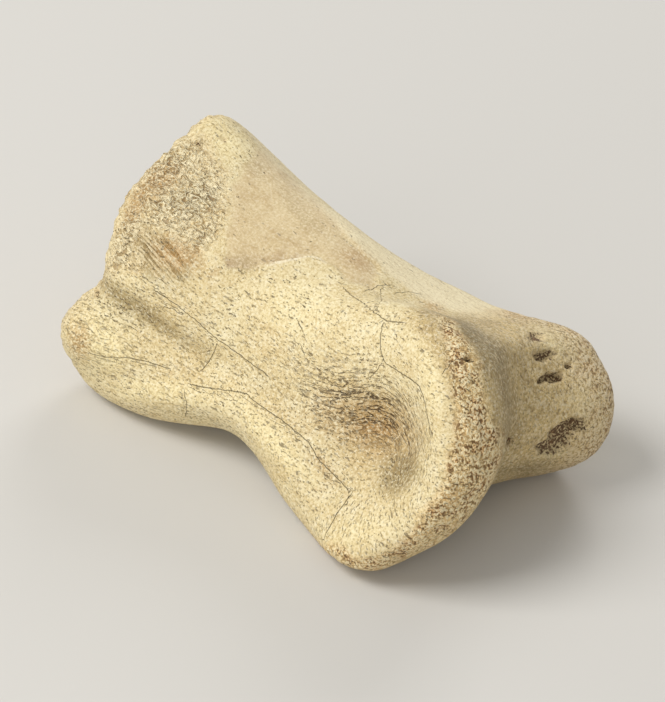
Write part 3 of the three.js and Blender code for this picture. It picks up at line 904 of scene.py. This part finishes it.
in_pieces = add(nodes, "MapRange", {0: noises["fleck"], 1: 0.36, 2: 0.48}).outputs[0]
wrinkles = add(nodes, "Math", {0: crossing, 1: in_pieces}, operation="MULTIPLY").outputs[0]
low_crust = add(nodes, "MapRange", {0: crust, 1: 0.49, 2: 0.42}).outputs[0]
some = add(nodes, "MapRange", {0: noises["mottle"], 1: 0.32, 2: 0.52}).outputs[0]
gaps = add(nodes, "Math", {0: low_crust, 1: some}, operation="MULTIPLY").outputs[0]
comb_dark = add(nodes, "MapRange", {0: noises["comb"], 1: 0.51, 2: 0.58}).outputs[0]
print("nodes so far:", len(nodes.nodes))

# %% Lay the colours
# pattern, the values at which a layer starts and is full, its most cover, the mask it keeps to, and tint
LAYERS = ((noises["drift"], 0.42, 0.66, 0.6, None, "#d4bc86"),
          (noises["mottle"], 0.48, 0.72, 0.6, None, "#eee3bf"),
          (noises["streak"], 0.5, 0.75, 0.4, None, "#c9ae79"),
          # the smooth dorsal strip: partly its own paler bone, partly painted light where its top faces the
          # light
          (masks["strip"], 0, 1, 0.85, None, "#f4e6c0"),
          (noises["hair"], 0.54, 0.64, 0.4, "strip", "#c4b189"),
          (masks["patch"], 0, 1, 0.8, None, "#d3bd93"),
          (noises["mottle"], 0.48, 0.66, 0.6, "patch", "#bfa577"),
          (noises["streak"], 0.52, 0.66, 0.5, "patch", "#b99d6c"),
          (noises["mottle"], 0.35, 0.6, 0.8, "blush", "#ab9070"),
          # painted highlight along the patch's lower edge
          (lip_highlight, 1.6, 0.6, 0.6, "lip_highlight_here", "#f4ead0"),
          (masks["joint"], 0, 1, 0.8, None, "#dcc084"),
          (noises["mottle"], 0.46, 0.6, 0.5, "joint", "#a38857"),
          # painted shade in the groove between the condyles
          (masks["groove_shade"], 0, 1, 0.75, None, "#7f6c42"),
          (masks["far_rim"], 0, 1, 0.6, None, "#cdb48a"),
          (crust, 0.46, 0.37, 0.65, "joint", "#6b5630"),
          (noises["fleck"], 0.54, 0.62, 0.7, "joint", "#e2cfa6"),
          # painted light on raised places that face the light, with some real pale patches and crumbs
          (masks["pale_and_lit"], 0, 1, 0.75, None, "#f5e5b0"),
          (masks["pit"], 0, 1, 0.6, None, "#a07d44"),
          # painted shade on the valley's upper bank and at the top of the groove, with darker stains in the
          # scar and below the pit
          (masks["dirt_and_shade"], 0, 1, 0.7, None, "#877449"),
          (masks["scar"], 0, 1, 0.55, None, "#e8cb92"),
          # clay stains, and painted shade along the valley, across the shaft's middle, under the dorsal ridge
          # and under the small condyle
          (clay_and_shade_soak, 0, 1, 0.9, None, "#8d7c56"),
          (iron_soak, 0, 1, 0.9, None, "#a3733a"),
          (noises["grit"], 0.5, 0.66, 0.55, "rough", "#a58a56"),
          (noises["grit"], 0.48, 0.34, 0.5, "rough", "#f5ecd0"),
          (noises["hair"], 0.56, 0.66, 0.6, "scratches", "#8a774a"),
          (sponge_hole, 0, 1, 0.7, "sponge", "#7a5a30"),
          (sponge_ridge, 0, 1, 0.95, "sponge", "#f8ebc4"),
          (noises["comb"], 0.51, 0.58, 0.6, "combed", "#78663b"),
          (noises["comb"], 0.47, 0.39, 0.6, "combed", "#eee2bd"),
          (iron_soak, 0, 1, 0.6, "scar", "#bd8d4c"),
          (masks["rim"], 0, 1, 0.85, None, "#edca8a"),
          (iron_soak, 0, 1, 0.55, "rim", "#c4853f"),
          (noises["mottle"], 0.5, 0.64, 0.6, "rim", "#cf9552"),
          (crust, 0.49, 0.56, 0.95, "rim", "#fbecc2"),
          (gaps, 0, 1, 0.85, "rim", "#563619"),
          (crust, 0.46, 0.37, 0.6, "far_rim", "#785a36"),
          (crust, 0.52, 0.58, 0.75, "far_rim", "#f2e3c4"),
          # painted shade in recesses, darker where the relief is deeper
          (masks["recess_shade"], 0, 1, 0.2, None, "#8d6f42"),
          (pore_total, 0, 1, 0.95, None, "#5a4522"),
          (wrinkles, 0, 1, 0.9, "slits", "#4a3418"),
          (crack_line, 0, 1, 0.8, None, "#5c4928"),
          (break_lip, 0, 1, 0.7, None, "#d6bf92"),
          (masks["break"], 0, 1, 0.95, None, "#543719"),
          (noises["grit"], 0.52, 0.58, 0.9, "break", "#d8c294"),
          (noises["mottle"], 0.5, 0.62, 0.5, "break", "#86613a"))
colour = CREAM
for pattern, start, full, most, mask, tint in LAYERS:
    cover = add(nodes, "MapRange", {0: pattern, 1: start, 2: full, 4: most}).outputs[0]
    if mask:
        cover = add(nodes, "Math", {0: cover, 1: masks[mask]}, operation="MULTIPLY").outputs[0]
    colour = add(nodes, "Mix", {0: cover, 6: colour, 7: linear(tint)}, data_type="RGBA").outputs[2]
print("colour layers:", len(LAYERS))

# %% [markdown]
# ### Surface
# Old bone scatters light almost evenly. Where rubbing has closed the pores, on the joint faces and the
# flaked patch, it is a little smoother. The finest relief is bump, summed in millimetres: pores and
# cracks go in, crumbs and ridges stand out.

# %% Roughness, bump and shader
smooth = add(nodes, "Math", {0: masks["joint"], 1: masks["patch"]}, operation="MAXIMUM").outputs[0]
roughness = add(nodes, "MapRange", {0: smooth, 3: 0.74, 4: 0.58}).outputs[0]
# pattern, the mask it keeps to, and its height in mm
HEIGHTS = ((noises["grit"], None, 0.07), (noises["streak"], None, 0.12), (pore_total, None, -0.11),
           (crack_line, None, -0.10), (sponge_ridge, "sponge", 0.09), (sponge_hole, "sponge", -0.12),
           (wrinkles, "slits", -0.12), (comb_dark, "combed", -0.09), (crust, "rim", 0.34),
           (crust, "joint", 0.25), (masks["break"], None, -0.2))
height = 0.0
for pattern, mask, tall in HEIGHTS:
    if mask:
        pattern = add(nodes, "Math", {0: pattern, 1: masks[mask]}, operation="MULTIPLY").outputs[0]
    height = add(nodes, "Math", {0: pattern, 1: tall, 2: height}, operation="MULTIPLY_ADD").outputs[0]
bumped = add(nodes, "Bump", {"Strength": 1.0, "Distance": MM, "Height": height}).outputs[0]
shader = add(nodes, "BsdfPrincipled", {"Base Color": colour, "Roughness": roughness, "IOR": 1.55,
                                       "Specular IOR Level": 0.35, "Normal": bumped})
nodes.links.new(shader.outputs[0], output.inputs["Surface"])
toe_bone.data.materials.append(fossil)
print("material:", fossil.name, "with", len(nodes.nodes), "nodes")

# %% [markdown]
# ## Floor and light
# The floor is plain and pale, so that it tells nothing but where the bone lies. One soft light stands
# high on the camera's left, as a window would, and models the pit and the rim. A wide, weak reflector low
# in front opens the shaded condyle, a lamp behind draws the pale upper edge, and an even sky does the rest.

# %% Floor
FLOOR_HALF = 1.2
floor_points = np.array(((-1, -1, 0), (1, -1, 0), (1, 1, 0), (-1, 1, 0))) * FLOOR_HALF / MM
floor = bpy.data.objects.new("floor", build_mesh("floor", floor_points, np.array([[0, 1, 2, 3]])))
bpy.context.scene.collection.objects.link(floor)
# Matte paper scatters light evenly, so the floor shows soft shadows and no gloss.
paper = bpy.data.materials.new("matte_paper_floor")
paper.use_nodes = True
sheet = paper.node_tree.nodes["Principled BSDF"]
sheet.inputs["Base Color"].default_value = linear("#cfccc6")
sheet.inputs["Roughness"].default_value = 0.9
floor.data.materials.append(paper)
print("floor:", 2 * FLOOR_HALF, "m wide")

# %% Lights
# where it stands as a direction, distance and width in metres, power in watts
LAMPS = {"window": ((-0.40, -0.52, 0.80), 0.7, 0.35, 3.4), "reflector": ((0.32, -0.85, 0.30), 0.7, 0.6, 1.7),
         "back": ((-0.3, 0.8, 0.55), 0.7, 0.3, 1.5)}
for name, (direction, distance, width, power) in LAMPS.items():
    light_data = bpy.data.lights.new(name, "AREA")
    light_data.size = width
    light_data.energy = power
    light = bpy.data.objects.new(name, light_data)
    light.location = Vector(direction).normalized() * distance
    light.rotation_euler = Vector(direction).to_track_quat("Z", "Y").to_euler()
    bpy.context.scene.collection.objects.link(light)
world = bpy.data.worlds.new("even_sky")
world.use_nodes = True
world.node_tree.nodes["Background"].inputs["Color"].default_value = linear("#fbfaf7")
world.node_tree.nodes["Background"].inputs["Strength"].default_value = 0.4
bpy.context.scene.world = world
bpy.context.scene.view_settings.view_transform = "Standard"
print("lamps:", ", ".join(LAMPS))
